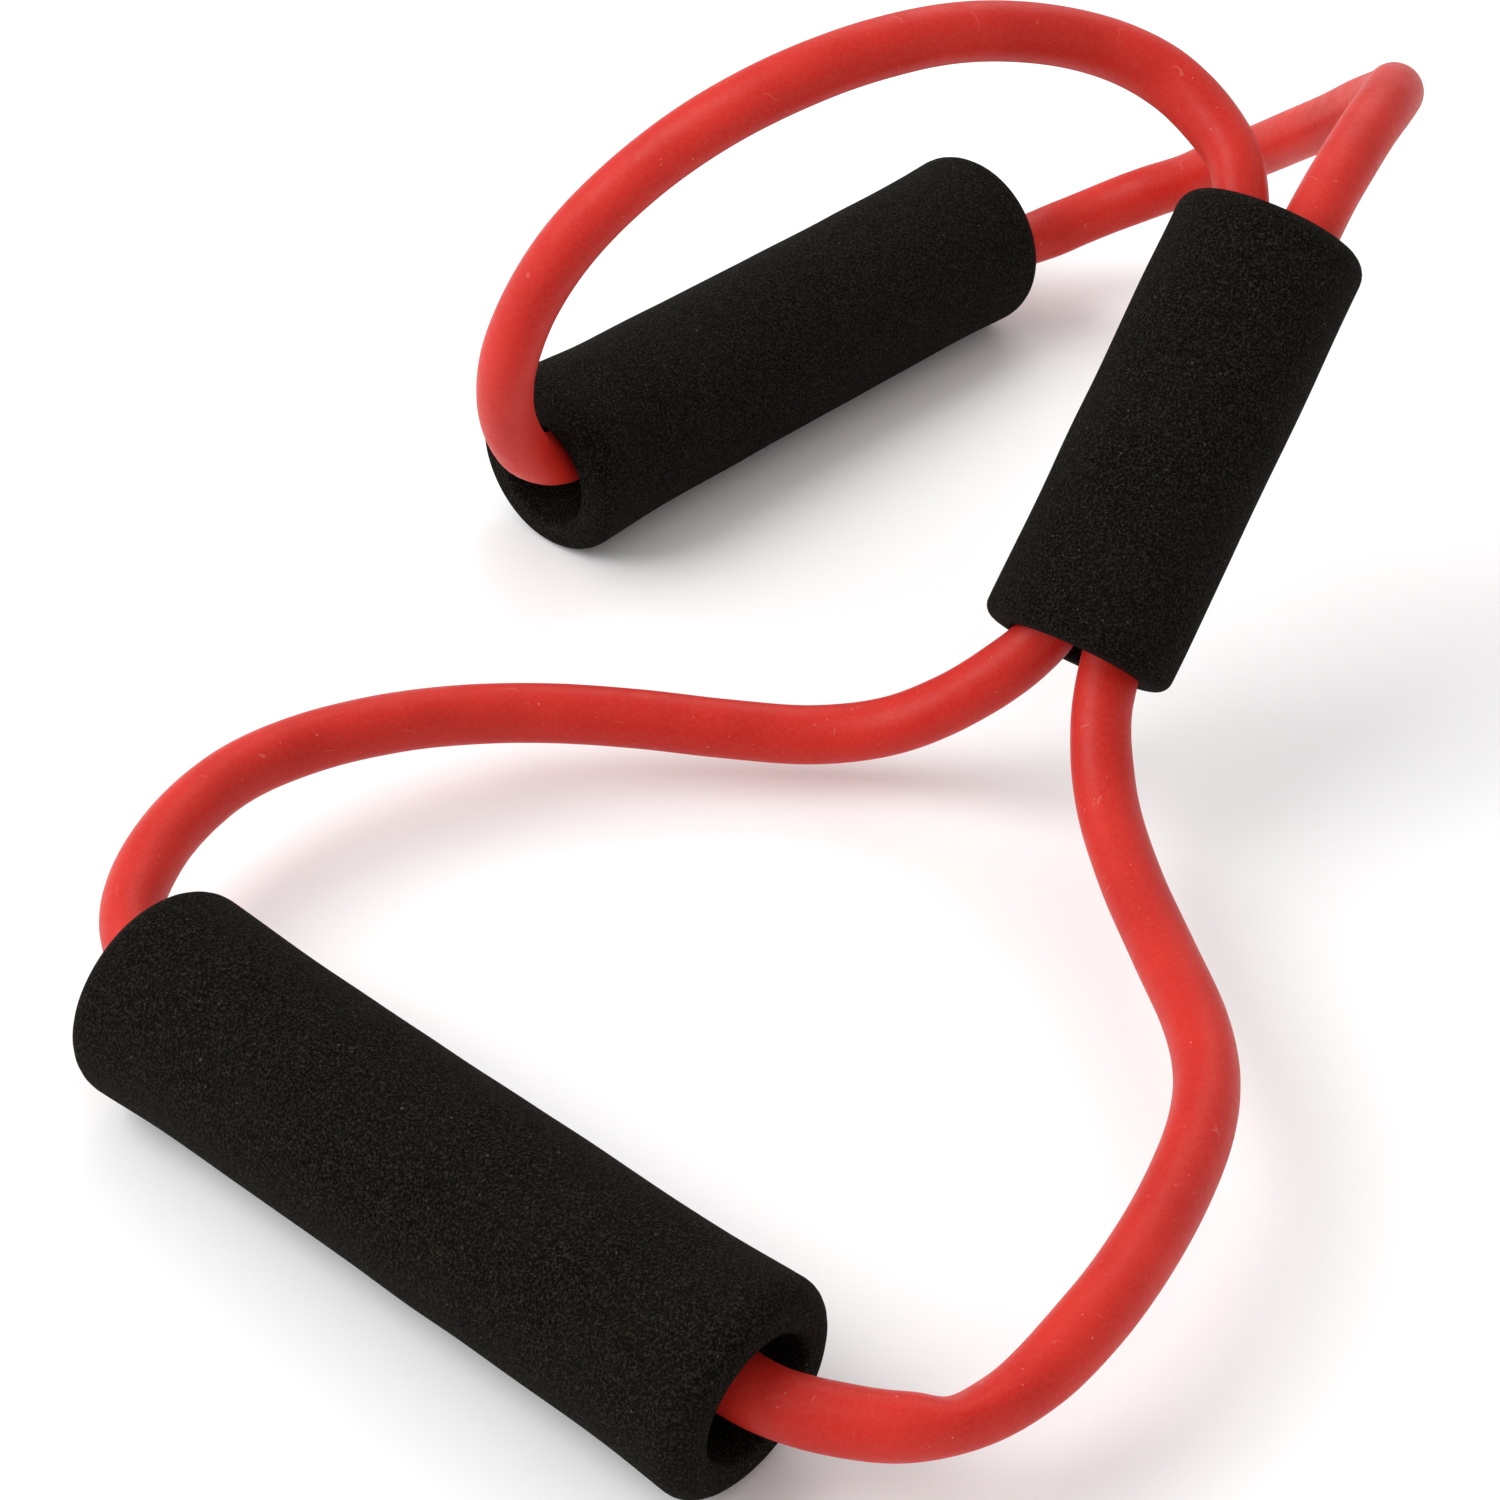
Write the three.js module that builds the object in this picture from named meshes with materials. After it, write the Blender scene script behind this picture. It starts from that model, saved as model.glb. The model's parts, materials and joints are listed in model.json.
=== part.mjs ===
// A figure-8 resistance band lying loose on a flat surface, in millimetres, +Z up.
// One rubber tube makes two loops. Each loop runs through a foam hand grip, and a
// foam sleeve holds the two strands together where the loops meet. The tube's two
// ends are joined on a barbed plug inside the rear grip.
// The origin is on the surface, under the middle of the grips and the sleeve.

import * as THREE from 'three';

// Tube: outside diameter, bore, and the number of sides of its plain round section
const TUBE_OD = 11;
const TUBE_ID = 6;
const TUBE_SIDES = 10;
const TUBE_RADIUS = TUBE_OD / 2;
// A step along a free strand is this many tube diameters
const STEP_DIAMETERS = 1.15;

// Foam stock: all three foam pieces are cut from the same thick-walled foam tube
const FOAM_OD = 37;
const FOAM_BORE = 22;
const FOAM_SIDES = 40;
const FOAM_RADIUS = FOAM_OD / 2;
const ARC_STEPS = 3;

const GRIP_LENGTH = 132;
const GRIP_OUTER_ROUNDING = 4.5;
const GRIP_MOUTH_ROUNDING = 1.8;
// A flat side of the grip's faceted outline lies on the surface
const GRIP_AXIS_HEIGHT = FOAM_RADIUS * Math.cos(Math.PI / FOAM_SIDES);

const SLEEVE_LENGTH = 86;
const SLEEVE_OUTER_ROUNDING = 2.2;
const SLEEVE_MOUTH_ROUNDING = 2.6;
// Two strands side by side stretch the sleeve's bore wide and leave it oval
const SLEEVE_BORE_WIDTH = 26;
const SLEEVE_BORE_SQUEEZE = 0.85;
const SLEEVE_OUTER_SQUEEZE = 0.955;

// Gap between faces that touch on the real band
const GAP = 0.3;

// How far inside its mouth each strand is already straight
const GRIP_ENTRY = 26;
const SLEEVE_ENTRY = 12;
const STRAIGHT_LEAD = 4;
// Half the distance between the two strands' centrelines in the sleeve
const STRAND_OFFSET = 5.8;

// Joint of the tube's two ends inside the rear grip
const PLUG_STEM_RADIUS = 2.8;
const PLUG_BARB_RADIUS = 3.4;
const PLUG_COLLAR_RADIUS = 5.2;
const PLUG_COLLAR_LENGTH = 3;
const PLUG_STEM_LENGTH = 20;
const PLUG_BARBS = 3;
const STRETCHED_BORE_RADIUS = PLUG_BARB_RADIUS + GAP;
const STRETCHED_RADIUS = 6;
const STRETCHED_LENGTH = PLUG_STEM_LENGTH + 4;
const FERRULE_LENGTH = 9;
const FERRULE_WALL = 0.8;
const FERRULE_FROM_COLLAR = 6;

// Where the foam pieces lie: centre, and direction of the axis
const DEGREE = Math.PI / 180;
const FRONT_GRIP = axisFrame([-45.2, -124.3, GRIP_AXIS_HEIGHT], -38.7, 0);
const REAR_GRIP = axisFrame([1.2, 118.8, GRIP_AXIS_HEIGHT], 47.4, 0);
const SLEEVE = axisFrame([74.7, 22, 64.7], 57.9, 42.6);

// Routes of the free strands, from the sleeve's mouth to the grip's mouth
const FRONT_LEFT_ROUTE = [
  [52.2, -0.4, 35.2], [44.4, -2.2, 27.5], [34.8, -1.9, 19.4], [25.2, -1.4, 14], [12.1, -0.9, 11],
  [-4, -0.9, 11.5], [-20, -1.3, 13.2], [-36, -3, 15], [-51, -7.2, 17.2], [-65.1, -13.9, 19.6],
  [-79.1, -21.4, 20.1], [-90.3, -31.3, 20.3], [-98.7, -45.7, 19.9], [-102.5, -59.8, 18.8],
  [-102.2, -70, 18], [-97.8, -79.2, 18], [-90.5, -87.5, 18],
];
const FRONT_RIGHT_ROUTE = [
  [64.2, -8.3, 35.3], [62.9, -15, 30.5], [63, -22, 26], [64.2, -32, 22], [67.5, -48, 20],
  [72, -66, 20], [76, -84, 21.1], [76.7, -97, 22], [74.7, -110, 23], [69.9, -124.1, 23.4],
  [63.1, -139, 24], [55.8, -151.2, 23.8], [47.5, -160.9, 22.1], [38.3, -167, 20.3],
  [28, -169.5, 19], [17.6, -168.1, 18.3], [7.9, -164.7, 17.8], [-1, -158.8, 18],
];
const REAR_LEFT_ROUTE = [
  [85.2, 53.6, 94.5], [84.1, 61, 99.8], [79.2, 68.6, 104.2], [72.1, 74.5, 108.3],
  [63.1, 76.5, 112.2], [50, 74.4, 116.4], [33.5, 68.6, 119.3], [16.9, 60.7, 119],
  [0.9, 54.6, 114.6], [-13.2, 51.6, 106.7], [-25.5, 50.5, 96], [-36, 49, 84],
  [-43.2, 49.1, 71.1], [-47.6, 50, 58], [-49, 53.5, 46], [-48.2, 58.1, 35.6], [-45.3, 64, 26],
  [-40.2, 72, 19.8],
];
const REAR_RIGHT_ROUTE = [
  [96.9, 47.1, 93.2], [100.8, 55.1, 96.6], [105.2, 64.1, 99.1], [109.8, 74.1, 100.4],
  [114.3, 84.6, 99.9], [117.7, 96, 96.5], [119, 109, 88.5], [116.9, 123.3, 78.3],
  [113.6, 135.2, 68.2], [108.5, 146.5, 58], [103, 156.8, 48.2], [96.8, 165.9, 39.3],
  [90.4, 172, 31.5], [83.4, 176, 25.8], [75.8, 177.1, 21.3], [68.3, 175.9, 18],
  [61.2, 173.2, 15.8], [54.4, 168.8, 15.4], [47.6, 164.5, 15.9], [41.5, 160.5, 16.8],
  [35.9, 156.1, 17.8],
];

const RUBBER_RED = new THREE.MeshStandardMaterial({ color: 0xc8402f, roughness: 0.5, metalness: 0 });
const FOAM_BLACK = new THREE.MeshStandardMaterial({ color: 0x1d1a17, roughness: 0.95, metalness: 0 });
const NYLON_WHITE = new THREE.MeshStandardMaterial({ color: 0xd9d4c8, roughness: 0.5, metalness: 0 });
const CRIMP_STEEL = new THREE.MeshStandardMaterial({ color: 0xa8a9ab, roughness: 0.4, metalness: 0.9 });

// A frame whose Y axis runs along a piece. Its X axis is level and its Z axis points down,
// or as far down as the slope of the piece lets it.
function axisFrame(centre, headingDegrees, slopeDegrees) {
  const heading = headingDegrees * DEGREE;
  const slope = slopeDegrees * DEGREE;
  const along = new THREE.Vector3(
    Math.cos(slope) * Math.cos(heading),
    Math.cos(slope) * Math.sin(heading),
    Math.sin(slope),
  );
  const side = new THREE.Vector3(Math.sin(heading), -Math.cos(heading), 0);
  const down = new THREE.Vector3().crossVectors(side, along).negate();
  const across = side.clone().negate();
  return new THREE.Matrix4()
    .makeBasis(across, along, down)
    .setPosition(new THREE.Vector3(...centre));
}

// The point of a frame that lies `along` from its centre and `aside` to the right of its axis
function pointOn(frame, along, aside = 0) {
  return new THREE.Vector3(-aside, along, 0).applyMatrix4(frame);
}

function namedMesh(name, geometry, material) {
  const mesh = new THREE.Mesh(geometry, material);
  mesh.name = name;
  return mesh;
}

function groupOn(frame, ...meshes) {
  const group = new THREE.Group();
  group.applyMatrix4(frame);
  group.add(...meshes);
  return group;
}

// Points of a quarter circle about (radius, along), from one angle to the next
function quarter(radius, along, rounding, startDegrees) {
  const points = [];
  for (let i = 0; i <= ARC_STEPS; i += 1) {
    const angle = (startDegrees + (90 * i) / ARC_STEPS) * DEGREE;
    points.push(new THREE.Vector2(
      radius + rounding * Math.cos(angle),
      along + rounding * Math.sin(angle),
    ));
  }
  return points;
}

// A thick-walled foam tube along Y with rounded ends, one of its flat sides facing +Z
function foamTube(length, boreRadius, outerRounding, mouthRounding) {
  const end = length / 2;
  const outerCorner = FOAM_RADIUS - outerRounding;
  const mouthCorner = boreRadius + mouthRounding;
  const profile = [
    ...quarter(mouthCorner, -end + mouthRounding, mouthRounding, 180),
    ...quarter(outerCorner, -end + outerRounding, outerRounding, 270),
    ...quarter(outerCorner, end - outerRounding, outerRounding, 0),
    ...quarter(mouthCorner, end - mouthRounding, mouthRounding, 90),
  ];
  profile.push(profile[0].clone());
  return new THREE.LatheGeometry(profile, FOAM_SIDES, Math.PI / FOAM_SIDES);
}

function handGrip(name) {
  const geometry = foamTube(GRIP_LENGTH, FOAM_BORE / 2, GRIP_OUTER_ROUNDING, GRIP_MOUTH_ROUNDING);
  return namedMesh(name, geometry, FOAM_BLACK);
}

// The sleeve starts round, and its thickness across the two strands is then squeezed,
// more at the bore than at the outside.
function centreSleeve() {
  const boreRadius = SLEEVE_BORE_WIDTH / 2;
  const geometry = foamTube(SLEEVE_LENGTH, boreRadius, SLEEVE_OUTER_ROUNDING, SLEEVE_MOUTH_ROUNDING);
  const position = geometry.getAttribute('position');
  for (let i = 0; i < position.count; i += 1) {
    const radius = Math.hypot(position.getX(i), position.getZ(i));
    const squeeze = THREE.MathUtils.mapLinear(
      radius, boreRadius, FOAM_RADIUS, SLEEVE_BORE_SQUEEZE, SLEEVE_OUTER_SQUEEZE,
    );
    position.setZ(i, position.getZ(i) * squeeze);
  }
  return namedMesh('centre_sleeve', geometry, FOAM_BLACK);
}

// A straight length of tube along Y
function straightTube(name, length, aside = 0) {
  const geometry = new THREE.CylinderGeometry(TUBE_RADIUS, TUBE_RADIUS, length, TUBE_SIDES);
  const mesh = namedMesh(name, geometry, RUBBER_RED);
  mesh.position.x = -aside;
  return mesh;
}

// A free strand: a round section swept along a smooth curve from the sleeve to a grip
function freeStrand(name, sleeveSign, side, route, grip, gripSign) {
  const sleeveStart = SLEEVE_LENGTH / 2 - SLEEVE_ENTRY;
  const gripEnd = GRIP_LENGTH / 2 - GRIP_ENTRY;
  const curve = new THREE.CatmullRomCurve3([
    pointOn(SLEEVE, sleeveSign * sleeveStart, side * STRAND_OFFSET),
    pointOn(SLEEVE, sleeveSign * (sleeveStart + STRAIGHT_LEAD), side * STRAND_OFFSET),
    ...route.map((point) => new THREE.Vector3(...point)),
    pointOn(grip, gripSign * (gripEnd + STRAIGHT_LEAD)),
    pointOn(grip, gripSign * gripEnd),
  ]);
  const section = new THREE.Shape();
  section.absarc(0, 0, TUBE_RADIUS, 0, 2 * Math.PI);
  const geometry = new THREE.ExtrudeGeometry(section, {
    steps: Math.round(curve.getLength() / (STEP_DIAMETERS * TUBE_OD)),
    curveSegments: TUBE_SIDES,
    bevelEnabled: false,
    extrudePath: curve,
  });
  return namedMesh(name, geometry, RUBBER_RED);
}

// The two straight strands inside the sleeve
function strandsInSleeve() {
  const length = SLEEVE_LENGTH - 2 * SLEEVE_ENTRY - 2 * GAP;
  return [
    straightTube('tube_in_sleeve_left', length, -STRAND_OFFSET),
    straightTube('tube_in_sleeve_right', length, STRAND_OFFSET),
  ];
}

// The profile of the barbed plug from its centre to one tip, as (radius, along) points
function plugHalfProfile() {
  const collarEnd = PLUG_COLLAR_LENGTH / 2;
  const pitch = PLUG_STEM_LENGTH / PLUG_BARBS;
  const points = [[PLUG_COLLAR_RADIUS, 0], [PLUG_COLLAR_RADIUS, collarEnd]];
  for (let i = 0; i < PLUG_BARBS; i += 1) {
    const foot = collarEnd + i * pitch;
    points.push([PLUG_STEM_RADIUS, foot], [PLUG_STEM_RADIUS, foot + pitch / 4]);
    points.push([PLUG_BARB_RADIUS, foot + pitch / 4], [PLUG_STEM_RADIUS, foot + pitch]);
  }
  return points;
}

// The plug is the same at both ends, with its axis along Y
function jointPlug() {
  const half = plugHalfProfile();
  const tip = half.at(-1)[1];
  const mirrored = half.map(([radius, along]) => [radius, -along]).reverse();
  const profile = [[0, -tip], ...mirrored.slice(0, -1), ...half.slice(1), [0, tip]];
  const points = profile.map(([radius, along]) => new THREE.Vector2(radius, along));
  return namedMesh('tube_joint_plug', new THREE.LatheGeometry(points, TUBE_SIDES * 2), NYLON_WHITE);
}

// A ring along Y, from (radius, along) points in order round its section
function ring(name, section, sides, material) {
  const points = section.map(([radius, along]) => new THREE.Vector2(radius, along));
  points.push(points[0].clone());
  return namedMesh(name, new THREE.LatheGeometry(points, sides), material);
}

// An end of the tube, stretched over the plug: it starts at the plug's collar and
// meets the free strand. It is made towards +Y, and `sign` turns it to its own side.
function tubeEnd(name, sign) {
  const start = PLUG_COLLAR_LENGTH / 2 + GAP;
  const shoulder = start + STRETCHED_LENGTH;
  const end = GRIP_LENGTH / 2 - GRIP_ENTRY - GAP;
  const mesh = ring(name, [
    [STRETCHED_BORE_RADIUS, start],
    [STRETCHED_RADIUS, start],
    [STRETCHED_RADIUS, shoulder - TUBE_RADIUS],
    [TUBE_RADIUS, shoulder],
    [TUBE_RADIUS, end],
    [TUBE_ID / 2, end],
    [TUBE_ID / 2, shoulder],
    [STRETCHED_BORE_RADIUS, shoulder - TUBE_RADIUS / 2],
  ], TUBE_SIDES * 2, RUBBER_RED);
  turnTo(mesh, sign);
  return mesh;
}

// The crimped ring round a tube end
function ferrule(name, sign) {
  const start = PLUG_COLLAR_LENGTH / 2 + FERRULE_FROM_COLLAR;
  const inner = STRETCHED_RADIUS + GAP;
  const mesh = ring(name, [
    [inner, start],
    [inner + FERRULE_WALL, start],
    [inner + FERRULE_WALL, start + FERRULE_LENGTH],
    [inner, start + FERRULE_LENGTH],
  ], TUBE_SIDES * 2, CRIMP_STEEL);
  turnTo(mesh, sign);
  return mesh;
}

// Turns a piece made towards +Y to face the other way where sign is -1
function turnTo(mesh, sign) {
  mesh.rotation.x = sign < 0 ? Math.PI : 0;
}

const gripCoreLength = GRIP_LENGTH - 2 * GRIP_ENTRY - 2 * GAP;

const band = new THREE.Group();
band.add(
  groupOn(FRONT_GRIP, handGrip('front_grip'), straightTube('tube_in_front_grip', gripCoreLength)),
  groupOn(
    REAR_GRIP,
    handGrip('rear_grip'),
    jointPlug(),
    tubeEnd('tube_end_left', -1),
    tubeEnd('tube_end_right', 1),
    ferrule('tube_ferrule_left', -1),
    ferrule('tube_ferrule_right', 1),
  ),
  groupOn(SLEEVE, centreSleeve(), ...strandsInSleeve()),
  freeStrand('tube_front_left', -1, -1, FRONT_LEFT_ROUTE, FRONT_GRIP, -1),
  freeStrand('tube_front_right', -1, 1, FRONT_RIGHT_ROUTE, FRONT_GRIP, 1),
  freeStrand('tube_rear_left', 1, -1, REAR_LEFT_ROUTE, REAR_GRIP, -1),
  freeStrand('tube_rear_right', 1, 1, REAR_RIGHT_ROUTE, REAR_GRIP, 1),
);

export default band;
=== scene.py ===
"""A figure-8 resistance band: one red latex tube in two loops, with two foam hand grips and a
foam sleeve where the loops meet. Every length is in metres, in the frame of the CAD model."""

import json
import math

import bpy
import numpy as np
from mathutils import Matrix, Vector, noise


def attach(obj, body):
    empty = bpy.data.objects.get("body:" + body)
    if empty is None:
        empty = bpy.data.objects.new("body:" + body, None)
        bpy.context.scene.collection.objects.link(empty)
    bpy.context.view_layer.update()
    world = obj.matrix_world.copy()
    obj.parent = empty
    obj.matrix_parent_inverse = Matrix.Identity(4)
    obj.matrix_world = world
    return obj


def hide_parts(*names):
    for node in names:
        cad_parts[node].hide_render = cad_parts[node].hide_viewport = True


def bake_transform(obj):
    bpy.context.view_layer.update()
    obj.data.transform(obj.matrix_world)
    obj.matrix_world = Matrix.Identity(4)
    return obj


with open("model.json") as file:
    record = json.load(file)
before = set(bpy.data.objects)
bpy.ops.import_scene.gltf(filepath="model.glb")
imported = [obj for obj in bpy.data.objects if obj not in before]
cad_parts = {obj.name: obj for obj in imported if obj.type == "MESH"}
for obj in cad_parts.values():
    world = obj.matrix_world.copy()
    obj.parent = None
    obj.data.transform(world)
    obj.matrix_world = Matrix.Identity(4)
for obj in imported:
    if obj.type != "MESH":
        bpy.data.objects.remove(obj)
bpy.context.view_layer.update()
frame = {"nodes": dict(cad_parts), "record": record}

MM = 0.001

# The sizes of the CAD model, except the sleeve's bore
TUBE_RADIUS = 5.5 * MM
FOAM_RADIUS = 18.5 * MM
GRIP_LENGTH = 132 * MM
GRIP_BORE_RADIUS = 11 * MM
GRIP_ENTRY = 26 * MM
CAD_FOAM_SIDES = 40
GRIP_AXIS_HEIGHT = FOAM_RADIUS * math.cos(math.pi / CAD_FOAM_SIDES)
SLEEVE_LENGTH = 86 * MM
SLEEVE_BORE_SQUEEZE = 0.85
SLEEVE_OUTER_SQUEEZE = 0.955
SLEEVE_ENTRY = 12 * MM
STRAIGHT_LEAD = 4 * MM
STRAND_OFFSET = 5.8 * MM
CAD_GAP = 0.3 * MM

# The CAD model's sleeve has a bore of 13 mm in radius. Here the foam closes on the strands,
# and stays this far from their surface.
SLEEVE_BORE_RADIUS = 12.1 * MM
STRAND_GAP = 0.15 * MM


def axis_frame(centre, heading, slope):
    """Centre, direction, level right-hand side and underside of a piece, as numpy vectors."""
    heading, slope = math.radians(heading), math.radians(slope)
    along = np.array([
        math.cos(slope) * math.cos(heading),
        math.cos(slope) * math.sin(heading),
        math.sin(slope),
    ])
    side = np.array([math.sin(heading), -math.cos(heading), 0])
    return {"centre": np.array(centre), "along": along, "side": side, "down": np.cross(along, side)}


FRONT_GRIP = axis_frame((-0.0452, -0.1243, GRIP_AXIS_HEIGHT), -38.7, 0)
REAR_GRIP = axis_frame((0.0012, 0.1188, GRIP_AXIS_HEIGHT), 47.4, 0)
SLEEVE = axis_frame((0.0747, 0.022, 0.0647), 57.9, 42.6)


def point_on(place, along, aside=0.0):
    return place["centre"] + along * place["along"] + aside * place["side"]


# ---------------------------------------------------------------- camera

CAMERA_PLACE = (0.00065, -0.50205, 0.4195)
CAMERA_PITCH = math.radians(39.48)
CAMERA_ROLL = math.radians(2.59)
CAMERA_LENS = 84
CAMERA_SENSOR = 36


def make_camera():
    data = bpy.data.cameras.new("camera")
    data.lens = CAMERA_LENS
    data.sensor_width = CAMERA_SENSOR
    data.clip_start = 0.01
    camera = bpy.data.objects.new("camera", data)
    bpy.context.scene.collection.objects.link(camera)
    look_down = Matrix.Rotation(math.pi / 2 - CAMERA_PITCH, 4, "X")
    roll = Matrix.Rotation(CAMERA_ROLL, 4, "Z")
    camera.matrix_world = Matrix.Translation(CAMERA_PLACE) @ look_down @ roll
    bpy.context.scene.camera = camera


# ---------------------------------------------------------------- the free strands' routes

# The same points as in the CAD model, in millimetres. Measuring scripts helped to place them,
# so they aren't purely hand-chosen.
FRONT_LEFT_ROUTE = [
    (52.2, -0.4, 35.2), (44.4, -2.2, 27.5), (34.8, -1.9, 19.4), (25.2, -1.4, 14),
    (12.1, -0.9, 11), (-4, -0.9, 11.5), (-20, -1.3, 13.2), (-36, -3, 15), (-51, -7.2, 17.2),
    (-65.1, -13.9, 19.6), (-79.1, -21.4, 20.1), (-90.3, -31.3, 20.3), (-98.7, -45.7, 19.9),
    (-102.5, -59.8, 18.8), (-102.2, -70, 18), (-97.8, -79.2, 18), (-90.5, -87.5, 18),
]
FRONT_RIGHT_ROUTE = [
    (64.2, -8.3, 35.3), (62.9, -15, 30.5), (63, -22, 26), (64.2, -32, 22), (67.5, -48, 20),
    (72, -66, 20), (76, -84, 21.1), (76.7, -97, 22), (74.7, -110, 23), (69.9, -124.1, 23.4),
    (63.1, -139, 24), (55.8, -151.2, 23.8), (47.5, -160.9, 22.1), (38.3, -167, 20.3),
    (28, -169.5, 19), (17.6, -168.1, 18.3), (7.9, -164.7, 17.8), (-1, -158.8, 18),
]
REAR_LEFT_ROUTE = [
    (85.2, 53.6, 94.5), (84.1, 61, 99.8), (79.2, 68.6, 104.2), (72.1, 74.5, 108.3),
    (63.1, 76.5, 112.2), (50, 74.4, 116.4), (33.5, 68.6, 119.3), (16.9, 60.7, 119),
    (0.9, 54.6, 114.6), (-13.2, 51.6, 106.7), (-25.5, 50.5, 96), (-36, 49, 84),
    (-43.2, 49.1, 71.1), (-47.6, 50, 58), (-49, 53.5, 46), (-48.2, 58.1, 35.6), (-45.3, 64, 26),
    (-40.2, 72, 19.8),
]
REAR_RIGHT_ROUTE = [
    (96.9, 47.1, 93.2), (100.8, 55.1, 96.6), (105.2, 64.1, 99.1), (109.8, 74.1, 100.4),
    (114.3, 84.6, 99.9), (117.7, 96, 96.5), (119, 109, 88.5), (116.9, 123.3, 78.3),
    (113.6, 135.2, 68.2), (108.5, 146.5, 58), (103, 156.8, 48.2), (96.8, 165.9, 39.3),
    (90.4, 172, 31.5), (83.4, 176, 25.8), (75.8, 177.1, 21.3), (68.3, 175.9, 18),
    (61.2, 173.2, 15.8), (54.4, 168.8, 15.4), (47.6, 164.5, 15.9), (41.5, 160.5, 16.8),
    (35.9, 156.1, 17.8),
]


def smooth_curve(points, steps=14):
    """The centripetal Catmull-Rom curve through the points, which is the CAD model's own."""
    p = np.array(points, float)
    p = np.vstack([2 * p[0] - p[1], p, 2 * p[-1] - p[-2]])
    found = []
    for i in range(1, len(p) - 2):
        p0, p1, p2, p3 = p[i - 1:i + 3]
        d0, d1, d2 = (math.sqrt(np.linalg.norm(b - a)) for a, b in ((p0, p1), (p1, p2), (p2, p3)))
        t1 = ((p1 - p0) / d0 - (p2 - p0) / (d0 + d1) + (p2 - p1) / d1) * d1
        t2 = ((p2 - p1) / d1 - (p3 - p1) / (d1 + d2) + (p3 - p2) / d2) * d1
        for s in np.arange(steps) / steps:
            found.append(
                (2 * s**3 - 3 * s**2 + 1) * p1 + (s**3 - 2 * s**2 + s) * t1
                + (3 * s**2 - 2 * s**3) * p2 + (s**3 - s**2) * t2
            )
    return np.array([*found, p[-2]])


def evenly_spaced(line, step):
    """The same line as points about `step` apart."""
    lengths = np.r_[0, np.cumsum(np.linalg.norm(np.diff(line, axis=0), axis=1))]
    at = np.linspace(0, lengths[-1], int(round(lengths[-1] / step)) + 1)
    return np.column_stack([np.interp(at, lengths, line[:, k]) for k in range(3)])


def strand_line(sleeve_sign, side, route, grip, grip_sign):
    """The centreline of a free strand, from inside the sleeve to inside a grip."""
    sleeve_start = SLEEVE_LENGTH / 2 - SLEEVE_ENTRY
    grip_end = GRIP_LENGTH / 2 - GRIP_ENTRY
    aside = side * STRAND_OFFSET
    points = [
        point_on(SLEEVE, sleeve_sign * sleeve_start, aside),
        point_on(SLEEVE, sleeve_sign * (sleeve_start + STRAIGHT_LEAD), aside),
        *(np.array(p) * MM for p in route),
        point_on(grip, grip_sign * (grip_end + STRAIGHT_LEAD)),
        point_on(grip, grip_sign * grip_end),
    ]
    return evenly_spaced(smooth_curve(points), RING_STEP)


# ---------------------------------------------------------------- mesh helpers

def mesh_object(name, vertices, faces, material):
    data = bpy.data.meshes.new(name)
    data.from_pydata([tuple(v) for v in vertices], [], faces)
    data.polygons.foreach_set("use_smooth", [True] * len(data.polygons))
    data.validate()
    data.materials.append(material)
    made = bpy.data.objects.new(name, data)
    bpy.context.scene.collection.objects.link(made)
    return made


def grid_faces(rings, sides, closed_along):
    """Quads that join `rings` rings of `sides` points each."""
    faces = []
    for i in range(rings if closed_along else rings - 1):
        for j in range(sides):
            a, b = i * sides, (i + 1) % rings * sides
            faces.append((a + j, a + (j + 1) % sides, b + (j + 1) % sides, b + j))
    return faces


def unit(v):
    return v / np.maximum(np.linalg.norm(v, axis=-1, keepdims=True), 1e-12)


# ---------------------------------------------------------------- tube

RING_STEP = 1 * MM
INNER_RING_STEP = 4 * MM
TUBE_SIDES = 36
# How much the round section flattens for a bend of one diameter, the most it may flatten,
# and the share of that by which it widens the other way
OVALISING = 0.45
OVAL_MOST = 0.10
OVAL_SPREAD = 0.8
# A crease fades round the tube with this power of how squarely the skin faces it
CREASE_FADE = 1.5
# Any direction that no strand starts along
FRAME_GUIDE = (0.1, 0.2, 1.0)


def ring_frames(line):
    """Two directions square to the line at each point, carried along without twist."""
    tangent = unit(np.gradient(line, axis=0))
    first = unit(np.cross(tangent[0], FRAME_GUIDE))
    across = [first]
    for t in tangent[1:]:
        across.append(unit(across[-1] - (across[-1] @ t) * t))
    across = np.array(across)
    return across, np.cross(tangent, across)


def bend_of(line):
    """The curvature vector along the line, smoothed over a tube diameter."""
    curvature = np.gradient(unit(np.gradient(line, axis=0)), axis=0) / RING_STEP
    reach = int(round(TUBE_RADIUS / RING_STEP))
    kernel = np.ones(2 * reach + 1) / (2 * reach + 1)
    padded = np.pad(curvature, ((reach, reach), (0, 0)), mode="edge")
    return np.column_stack([np.convolve(padded[:, k], kernel, mode="valid") for k in range(3)])


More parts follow.
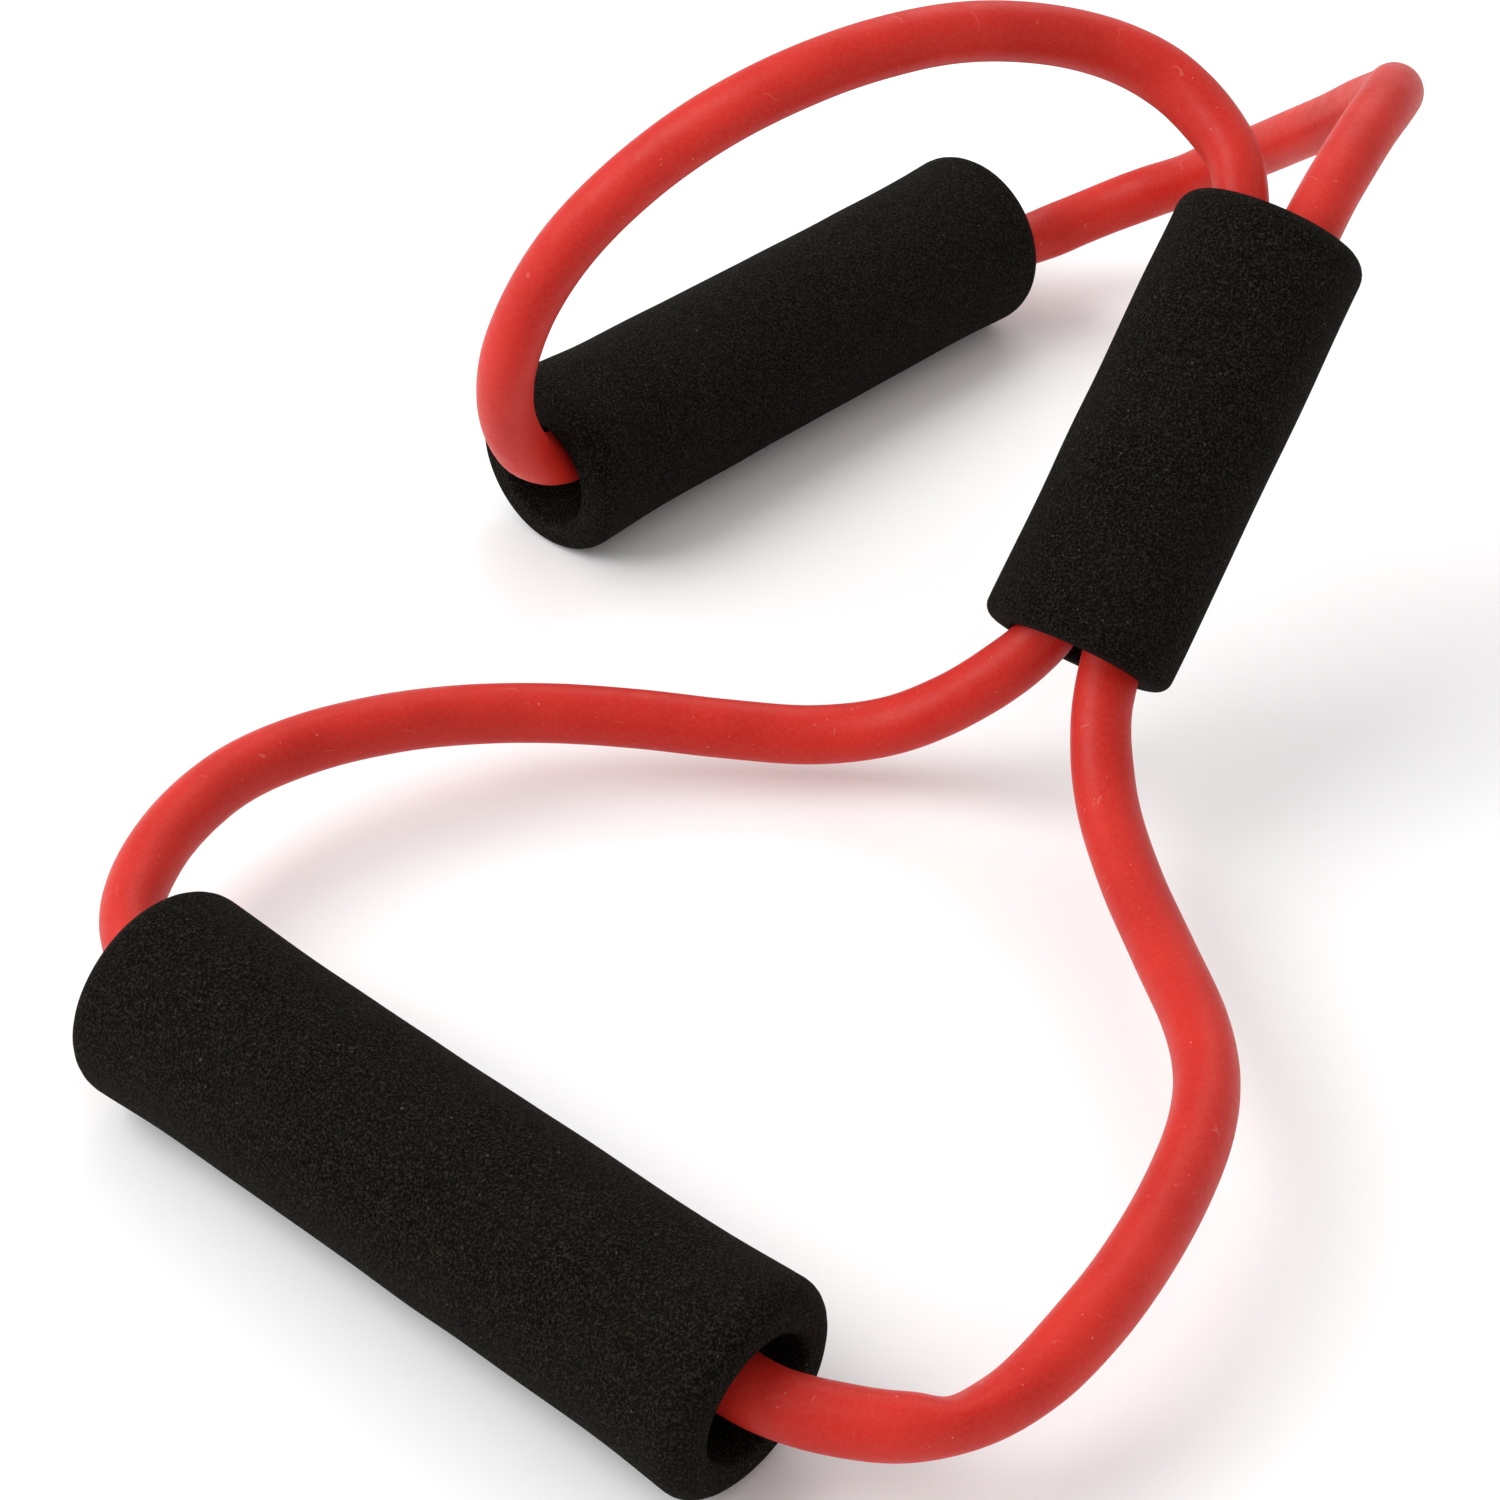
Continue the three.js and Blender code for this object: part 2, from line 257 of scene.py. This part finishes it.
def tube_mesh(name, line, creases=()):
    """A closed tube along the line, oval where it bends and pressed in at its creases."""
    across, up = ring_frames(line)
    bend = bend_of(line)
    amount = np.linalg.norm(bend, axis=1)
    inward = unit(bend)
    oval = np.minimum(OVALISING * (2 * TUBE_RADIUS * amount) ** 2, OVAL_MOST)
    turn = np.linspace(0, 2 * math.pi, TUBE_SIDES, endpoint=False)
    spoke = (
        np.cos(turn)[None, :, None] * across[:, None, :]
        + np.sin(turn)[None, :, None] * up[:, None, :]
    )
    inner = (spoke * inward[:, None, :]).sum(2, keepdims=True) * inward[:, None, :]
    narrower = (1 - oval)[:, None, None]
    wider = (1 + OVAL_SPREAD * oval)[:, None, None]
    offset = TUBE_RADIUS * (inner * narrower + (spoke - inner) * wider)
    for place, towards, depth, reach in creases:
        towards = unit(np.array(towards, float))
        distance = np.linalg.norm(line - np.array(place) * MM, axis=1)
        strength = np.exp(-((distance / (reach * MM)) ** 2))
        facing = np.clip((spoke * towards).sum(2), 0, 1) ** CREASE_FADE
        offset -= (depth * MM * strength[:, None] * facing)[..., None] * towards
    vertices = (line[:, None, :] + offset).reshape(-1, 3)
    rings = len(line)
    faces = grid_faces(rings, TUBE_SIDES, closed_along=False)
    faces.append(tuple(range(TUBE_SIDES - 1, -1, -1)))
    faces.append(tuple((rings - 1) * TUBE_SIDES + j for j in range(TUBE_SIDES)))
    return mesh_object(name, vertices, faces, MATERIALS["rubber_tube"])


def free_strand(name, node, line, creases=()):
    """One free strand: a tube that stretches between the centre and its own loop's grip."""
    strand = tube_mesh(name, line, creases)
    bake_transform(strand)
    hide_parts(node)


def inner_tube(name, node, start, end, body):
    """A straight stretch of tube that stays inside a foam piece."""
    line = evenly_spaced(np.array([start, end]), INNER_RING_STEP)
    stretch = tube_mesh(name, line)
    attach(stretch, body)
    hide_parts(node)


# ---------------------------------------------------------------- foam

FOAM_SIDES = 128
FOAM_ARC_STEPS = 7
# Distance between points along the first end face, the outside, the last end face and the bore
FOAM_WALL_STEPS = (1.2 * MM, 2 * MM, 1.2 * MM, 3 * MM)
FOAM_MOUTH_ROUNDING = 1.2 * MM
# Roundings of the outer edge at a piece's first and last end
FRONT_GRIP_ROUNDINGS = (4.4 * MM, 4.4 * MM)
REAR_GRIP_ROUNDINGS = (4 * MM, 4.4 * MM)
SLEEVE_ROUNDINGS = (2.6 * MM, 4.2 * MM)


def arc(radius, along, rounding, start_degrees):
    """A quarter circle about (radius, along)."""
    angles = np.radians(start_degrees + 90 * np.arange(FOAM_ARC_STEPS + 1) / FOAM_ARC_STEPS)
    return [(radius + rounding * math.cos(a), along + rounding * math.sin(a)) for a in angles]


def wall(start, end, step):
    """Points strictly between two points of a profile, about `step` apart."""
    start, end = np.array(start), np.array(end)
    count = max(int(round(np.linalg.norm(end - start) / step)), 1)
    return [tuple(start + (end - start) * i / count) for i in range(1, count)]


def foam_profile(length, bore, roundings):
    """The closed section of a thick foam tube, as (radius, along) points."""
    end = length / 2
    first, last = roundings
    mouth = bore + FOAM_MOUTH_ROUNDING
    corners = [
        arc(mouth, -end + FOAM_MOUTH_ROUNDING, FOAM_MOUTH_ROUNDING, 180),
        arc(FOAM_RADIUS - first, -end + first, first, 270),
        arc(FOAM_RADIUS - last, end - last, last, 0),
        arc(mouth, end - FOAM_MOUTH_ROUNDING, FOAM_MOUTH_ROUNDING, 90),
    ]
    profile = []
    for i, corner in enumerate(corners):
        following = corners[(i + 1) % len(corners)]
        profile += corner
        profile += wall(corner[-1], following[0], FOAM_WALL_STEPS[i])
    return np.array(profile)


def foam_piece(name, node, place, body, length, bore, roundings, shape, strands=()):
    """A cut length of foam tube, given its own shape by shape(radius, along, turn)."""
    profile = foam_profile(length, bore, roundings)
    turn = np.linspace(0, 2 * math.pi, FOAM_SIDES, endpoint=False)
    radius = np.repeat(profile[:, 0], FOAM_SIDES)
    along = np.repeat(profile[:, 1], FOAM_SIDES)
    turn = np.tile(turn, len(profile))
    aside, below = shape(radius, along, turn)
    vertices = (
        place["centre"] + along[:, None] * place["along"]
        + aside[:, None] * place["side"] + below[:, None] * place["down"]
    )
    vertices += unevenness(vertices, place, radius)
    for line in strands:
        make_room(vertices, line)
    vertices[:, 2] = rest_on_floor(vertices[:, 2])
    faces = grid_faces(len(profile), FOAM_SIDES, closed_along=True)
    piece = mesh_object(name, vertices, faces, MATERIALS["foam"])
    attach(piece, body)
    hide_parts(node)


# The skin starts this share of the way out, and the lumps reach full depth this much further
SKIN_START = 0.6
UNEVEN_FADE = 0.3
UNEVEN_DEPTH = 0.22 * MM
UNEVEN_SIZE = 16 * MM
FLOOR_SOFTNESS = 0.3 * MM


def unevenness(vertices, place, radius):
    """The foam's slight lumps, as offsets square to the piece's axis."""
    from_axis = vertices - place["centre"]
    from_axis -= np.outer(from_axis @ place["along"], place["along"])
    outward = unit(from_axis)
    depth = [noise.noise(Vector(v / UNEVEN_SIZE)) * UNEVEN_DEPTH for v in vertices]
    share = np.clip((radius / FOAM_RADIUS - SKIN_START) / UNEVEN_FADE, 0, 1)
    return outward * (np.array(depth) * share)[:, None]


def rest_on_floor(height):
    """Presses what would sink into the floor flat against it."""
    return (height + np.sqrt(height**2 + FLOOR_SOFTNESS**2)) / 2


FLARE = 0.8 * MM
FLARE_LENGTH = 14 * MM
GRIP_WAIST = 0.25 * MM
# The front grip is slightly the slimmer of the two, most of all at its right end
FRONT_SLIMMER = 0.2 * MM
FRONT_TAPER = 0.1 * MM
SLEEVE_WAIST = 0.3 * MM
BORE_SAG = 1.5 * MM
BORE_SAG_LENGTH = 20 * MM


def skin_share(radius):
    """0 in the bore and 1 on the outside of a foam piece."""
    return np.clip((radius / FOAM_RADIUS - SKIN_START) / (1 - SKIN_START), 0, 1)


def flared_grip(radius, along):
    """The cut ends of a grip stand a little wider than its middle."""
    from_end = GRIP_LENGTH / 2 - np.abs(along)
    flare = FLARE * np.exp(-((from_end / FLARE_LENGTH) ** 2))
    return radius + skin_share(radius) * (flare - GRIP_WAIST)


def rear_grip_shape(radius, along, turn):
    """The tube's pull leaves more foam above the bore than below it at the left mouth."""
    outer = flared_grip(radius, along)
    from_mouth = along + GRIP_LENGTH / 2
    sag = BORE_SAG * (1 - skin_share(radius)) * np.exp(-((from_mouth / BORE_SAG_LENGTH) ** 2))
    return outer * np.cos(turn), outer * np.sin(turn) + sag


def front_grip_shape(radius, along, turn):
    slimmer = FRONT_SLIMMER + FRONT_TAPER * along / (GRIP_LENGTH / 2)
    outer = flared_grip(radius, along) - skin_share(radius) * slimmer
    return outer * np.cos(turn), outer * np.sin(turn)


def sleeve_shape(radius, along, turn):
    outer = radius - skin_share(radius) * SLEEVE_WAIST
    share = (radius - SLEEVE_BORE_RADIUS) / (FOAM_RADIUS - SLEEVE_BORE_RADIUS)
    squeeze = SLEEVE_BORE_SQUEEZE + share * (SLEEVE_OUTER_SQUEEZE - SLEEVE_BORE_SQUEEZE)
    return outer * np.cos(turn), outer * np.sin(turn) * squeeze


def make_room(vertices, line):
    """Presses foam that a strand would touch back to the strand's surface."""
    clear = TUBE_RADIUS + STRAND_GAP
    away = vertices[:, None, :] - line[None, :, :]
    distance = np.linalg.norm(away, axis=2)
    nearest = distance.argmin(axis=1)
    rows = np.flatnonzero(distance.min(axis=1) < clear)
    for i in rows:
        vertices[i] = line[nearest[i]] + unit(away[i, nearest[i]]) * clear


# ---------------------------------------------------------------- materials

class Nodes:
    """A short way to write a material's node tree."""

    def __init__(self, name):
        self.material = bpy.data.materials.new(name)
        self.material.use_nodes = True
        self.tree = self.material.node_tree
        self.shader = self.tree.nodes["Principled BSDF"]
        self.place = self.add("ShaderNodeTexCoord").outputs["Object"]

    def add(self, kind, inputs=(), **settings):
        node = self.tree.nodes.new(kind)
        for key, value in settings.items():
            setattr(node, key, value)
        for key, value in dict(inputs).items():
            self.set(node.inputs[key], value)
        return node

    def set(self, socket, value):
        if isinstance(value, bpy.types.NodeSocket):
            self.tree.links.new(value, socket)
        else:
            socket.default_value = value

    def shade(self, **inputs):
        for key, value in inputs.items():
            self.set(self.shader.inputs[key.replace("_", " ")], value)

    def noise(self, per_metre, detail=3.0, roughness=0.55):
        node = self.add("ShaderNodeTexNoise", {
            "Vector": self.place, "Scale": per_metre, "Detail": detail, "Roughness": roughness,
        })
        return node.outputs["Fac"]

    def cells(self, per_metre, output="Distance"):
        node = self.add("ShaderNodeTexVoronoi", {"Vector": self.place, "Scale": per_metre})
        return node.outputs[output]

    def remap(self, value, low, high, to_low=0.0, to_high=1.0):
        node = self.add("ShaderNodeMapRange", {
            "Value": value, "From Min": low, "From Max": high, "To Min": to_low, "To Max": to_high,
        })
        return node.outputs["Result"]

    def math(self, operation, a, b):
        return self.add("ShaderNodeMath", {0: a, 1: b}, operation=operation).outputs[0]

    def mix(self, factor, a, b):
        node = self.add("ShaderNodeMix", data_type="RGBA")
        self.set(node.inputs[0], factor)
        self.set(node.inputs[6], a)
        self.set(node.inputs[7], b)
        return node.outputs[2]

    def bump(self, height, distance, strength=1.0, normal=None):
        node = self.add("ShaderNodeBump", {
            "Height": height, "Distance": distance, "Strength": strength,
        })
        if normal is not None:
            self.set(node.inputs["Normal"], normal)
        return node.outputs["Normal"]

    def specks(self, per_metre, share, size):
        """1 on small round specks, in the given share of cells."""
        chosen = self.math("LESS_THAN", self.separate(self.cells(per_metre, "Color")), share)
        near = self.remap(self.cells(per_metre), size, size * 0.5)
        return self.math("MULTIPLY", chosen, near)

    def scratches(self, per_metre, width):
        """1 on thin broken lines where a stretched noise crosses its middle value."""
        line = self.math("ABSOLUTE", self.math("SUBTRACT", self.noise(per_metre, 1.5), 0.5), 0.0)
        broken = self.remap(self.noise(per_metre * 1.7, 2.0), 0.62, 0.68)
        return self.math("MULTIPLY", self.remap(line, width, width * 0.3), broken)

    def separate(self, colour):
        return self.add("ShaderNodeSeparateColor", {"Color": colour}).outputs["Red"]


def rgba(red, green, blue):
    return (red, green, blue, 1.0)


def latex_material():
    """Red latex tube with a dull bloom, fine scratches and pale specks of dust."""
    n = Nodes("red_latex")
    broad = n.remap(n.noise(45, detail=2), 0.35, 0.65)
    red = n.mix(broad, rgba(0.46, 0.010, 0.0050), rgba(0.54, 0.017, 0.0090))
    mottle = n.remap(n.noise(1300, detail=4), 0.35, 0.65)
    red = n.mix(n.math("MULTIPLY", mottle, 0.14), red, rgba(0.62, 0.08, 0.055))
    dust = n.math("MAXIMUM", n.specks(900, 0.07, 0.13), n.specks(420, 0.05, 0.09))
    scratch = n.scratches(130, 0.007)
    worn = n.math("MAXIMUM", n.math("MULTIPLY", dust, 0.5), n.math("MULTIPLY", scratch, 0.16))
    red = n.mix(worn, red, rgba(0.72, 0.40, 0.33))
    red = n.mix(n.specks(120, 0.02, 0.05), red, rgba(0.05, 0.006, 0.005))
    grain = n.bump(n.noise(2600, detail=2), 0.00004, 0.5)
    n.shade(
        Base_Color=red,
        Roughness=n.remap(n.noise(500), 0.3, 0.7, 0.42, 0.54),
        Normal=n.bump(dust, 0.00005, 0.6, grain),
    )
    n.shader.inputs["Specular IOR Level"].default_value = 0.22
    return n.material


def foam_material():
    """Black fine-cell foam, skinless and matte, with dust caught in its cells."""
    n = Nodes("black_foam")
    grain = n.remap(n.noise(2200, detail=2, roughness=0.75), 0.44, 0.64)
    cells = n.remap(n.cells(3000), 0.15, 0.75)
    broad = n.remap(n.noise(60, detail=3), 0.3, 0.7)
    tone = n.mix(grain, rgba(0.0010, 0.0008, 0.0005), rgba(0.0340, 0.0285, 0.0205))
    tone = n.mix(n.math("MULTIPLY", broad, 0.2), tone, rgba(0.020, 0.016, 0.0125))
    dust = n.math("MAXIMUM", n.specks(900, 0.03, 0.22), n.specks(360, 0.04, 0.12))
    tone = n.mix(n.math("MULTIPLY", dust, 0.5), tone, rgba(0.16, 0.145, 0.125))
    pits = n.math("SUBTRACT", grain, n.math("MULTIPLY", cells, 0.7))
    n.shade(
        Base_Color=tone,
        Roughness=0.95,
        Normal=n.bump(pits, 0.00045, 1.0),
    )
    n.shader.inputs["Specular IOR Level"].default_value = 0.06
    return n.material


def nylon_material():
    """Natural nylon of the joining plug, with faint flow marks."""
    n = Nodes("natural_nylon")
    flow = n.remap(n.noise(260, detail=4), 0.3, 0.7)
    n.shade(
        Base_Color=n.mix(flow, rgba(0.66, 0.62, 0.54), rgba(0.78, 0.75, 0.68)),
        Roughness=n.remap(n.noise(900), 0.3, 0.7, 0.38, 0.52),
        Normal=n.bump(n.noise(1500), 0.00003, 0.4),
    )
    return n.material


def crimp_material():
    """Zinc-plated steel of the crimped rings, lightly scuffed."""
    n = Nodes("plated_steel")
    scuffs = n.remap(n.noise(1200, detail=5, roughness=0.75), 0.35, 0.7)
    n.shade(
        Base_Color=n.mix(scuffs, rgba(0.50, 0.50, 0.51), rgba(0.66, 0.65, 0.63)),
        Metallic=1.0,
        Roughness=n.remap(scuffs, 0, 1, 0.28, 0.45),
        Normal=n.bump(scuffs, 0.00004, 0.5),
    )
    return n.material


MATERIALS = {
    "rubber_tube": latex_material(),
    "foam": foam_material(),
    "joint_plug": nylon_material(),
    "ferrule": crimp_material(),
}


# ---------------------------------------------------------------- the band

FRONT_LEFT = strand_line(-1, -1, FRONT_LEFT_ROUTE, FRONT_GRIP, -1)
FRONT_RIGHT = strand_line(-1, 1, FRONT_RIGHT_ROUTE, FRONT_GRIP, 1)
REAR_LEFT = strand_line(1, -1, REAR_LEFT_ROUTE, REAR_GRIP, -1)
REAR_RIGHT = strand_line(1, 1, REAR_RIGHT_ROUTE, REAR_GRIP, 1)
# The rings of a free strand that lie in or near the sleeve's mouth
MOUTH_RINGS = 40


def make_strands():
    free_strand(
        "strand_front_left", "tube_front_left", FRONT_LEFT,
    )
    free_strand(
        "strand_front_right", "tube_front_right", FRONT_RIGHT,
        # Place and direction, then depth and reach, in millimetres
        creases=[
            ((41, -165.5, 20.8), (-0.30, 0.56, 0.77), 1.6, 9),
            ((35, -168, 20), (-0.20, 0.56, 0.80), 1.3, 4),
        ],
    )
    free_strand(
        "strand_rear_left", "tube_rear_left", REAR_LEFT,
    )
    free_strand(
        "strand_rear_right", "tube_rear_right", REAR_RIGHT,
    )


def make_inner_tubes():
    sleeve_half = SLEEVE_LENGTH / 2 - SLEEVE_ENTRY - CAD_GAP
    for side, word in ((-1, "left"), (1, "right")):
        inner_tube(
            f"sleeve_strand_{word}", f"tube_in_sleeve_{word}",
            point_on(SLEEVE, -sleeve_half, side * STRAND_OFFSET),
            point_on(SLEEVE, sleeve_half, side * STRAND_OFFSET), "tube_centre",
        )
    grip_half = GRIP_LENGTH / 2 - GRIP_ENTRY - CAD_GAP
    inner_tube(
        "grip_strand", "tube_in_front_grip",
        point_on(FRONT_GRIP, -grip_half), point_on(FRONT_GRIP, grip_half), "front_loop",
    )


def make_foam():
    foam_piece(
        "foam_grip_front", "front_grip", FRONT_GRIP, "front_hand", GRIP_LENGTH,
        GRIP_BORE_RADIUS, FRONT_GRIP_ROUNDINGS, front_grip_shape,
    )
    foam_piece(
        "foam_grip_rear", "rear_grip", REAR_GRIP, "rear_hand", GRIP_LENGTH,
        GRIP_BORE_RADIUS, REAR_GRIP_ROUNDINGS, rear_grip_shape,
    )
    foam_piece(
        "foam_sleeve", "centre_sleeve", SLEEVE, "sleeve", SLEEVE_LENGTH,
        SLEEVE_BORE_RADIUS, SLEEVE_ROUNDINGS, sleeve_shape,
        strands=[line[:MOUTH_RINGS] for line in (FRONT_LEFT, FRONT_RIGHT, REAR_LEFT, REAR_RIGHT)],
    )


def dress_cad_nodes():
    """Materials for the CAD nodes that stay: the tube's joint inside the rear grip."""
    slots = {row["node"]: row["material_slot"] for row in frame["record"]["subparts"]}
    for name, node in frame["nodes"].items():
        if not node.hide_render:
            node.data.materials.clear()
            node.data.materials.append(MATERIALS[slots[name]])


# ---------------------------------------------------------------- studio

FLOOR_REACH = 20
LIGHT_TARGET = (0, 0, 0.03)
WORLD_STRENGTH = 0.78


def area_light(name, place, size, power):
    data = bpy.data.lights.new(name, "AREA")
    data.shape = "DISK"
    data.size = size
    data.energy = power
    light = bpy.data.objects.new(name, data)
    bpy.context.scene.collection.objects.link(light)
    aim = (Vector(LIGHT_TARGET) - Vector(place)).to_track_quat("-Z", "Y")
    light.matrix_world = Matrix.Translation(place) @ aim.to_matrix().to_4x4()


def floor_material():
    n = Nodes("white_paper")
    tone = n.mix(n.noise(12), rgba(0.90, 0.90, 0.90), rgba(0.93, 0.93, 0.93))
    n.shade(Base_Color=tone, Roughness=0.9)
    return n.material


def make_studio():
    corners = ((-1, -1), (1, -1), (1, 1), (-1, 1))
    floor = mesh_object(
        "floor", [(x * FLOOR_REACH, y * FLOOR_REACH, 0) for x, y in corners], [(0, 1, 2, 3)],
        floor_material(),
    )
    world = bpy.data.worlds.new("studio")
    world.use_nodes = True
    background = world.node_tree.nodes["Background"]
    background.inputs["Color"].default_value = (1, 1, 1, 1)
    background.inputs["Strength"].default_value = WORLD_STRENGTH
    bpy.context.scene.world = world
    area_light("key", (-1.15, -0.2, 1.05), size=1.3, power=19)
    area_light("back", (0.2, 1.2, 1.1), size=1.2, power=6)
    bpy.context.scene.view_settings.view_transform = "Standard"
    bpy.context.scene.view_settings.look = "None"


make_camera()
make_strands()
make_inner_tubes()
make_foam()
dress_cad_nodes()
make_studio()
